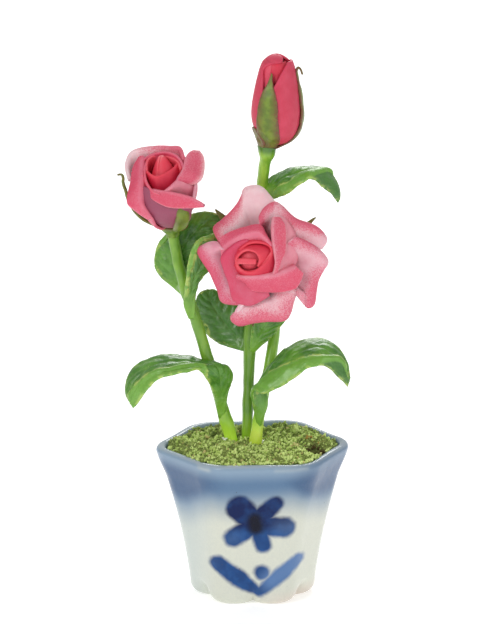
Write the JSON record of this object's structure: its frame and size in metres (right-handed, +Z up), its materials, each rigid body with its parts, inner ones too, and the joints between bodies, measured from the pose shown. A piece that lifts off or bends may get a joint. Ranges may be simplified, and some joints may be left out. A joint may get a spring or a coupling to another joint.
{
  "type": "miniature artificial rose bush in a pot",
  "caption": "Miniature artificial rose bush: clay roses, a bud and broad leaves on thick green stems, set in dried moss in a flared hexagonal glazed pot painted with a brush flower.",
  "frame": {"origin": "centre of the pot's flat underside, where it stands", "axes": "+Z up along the pot's axis and the plant's height, +X to the plant's right as seen from the front, -Y to the front, where the open rose faces"},
  "size_m": [0.0362, 0.028, 0.0854],
  "materials": {
    "glaze": "glossy white glaze, blue-grey round the rim, with a cobalt brush flower",
    "moss": "dry crumbled moss",
    "stem": "satin coloured clay",
    "leaf": "glossy coloured clay with pressed veins",
    "petal": "soft satin clay, pale pink with darker pink edges",
    "calyx": "satin clay with reddish edges"
  },
  "bodies": {
    "root": {"pot": "glaze", "moss": "moss", "stem_left": "stem", "stem_middle": "stem", "stem_right": "stem", "leaf_lower_left": "leaf", "leaf_lower_right": "leaf", "leaf_upper_left": "leaf", "leaf_curled": "leaf", "leaf_middle_left": "leaf", "leaf_middle_right": "leaf", "leaf_upper_right": "leaf", "open_rose": "petal", "half_open_rose": "petal", "bud": "petal", "open_rose_calyx": "calyx", "half_open_rose_calyx": "calyx", "bud_calyx": "calyx"}
  },
  "joints": []
}
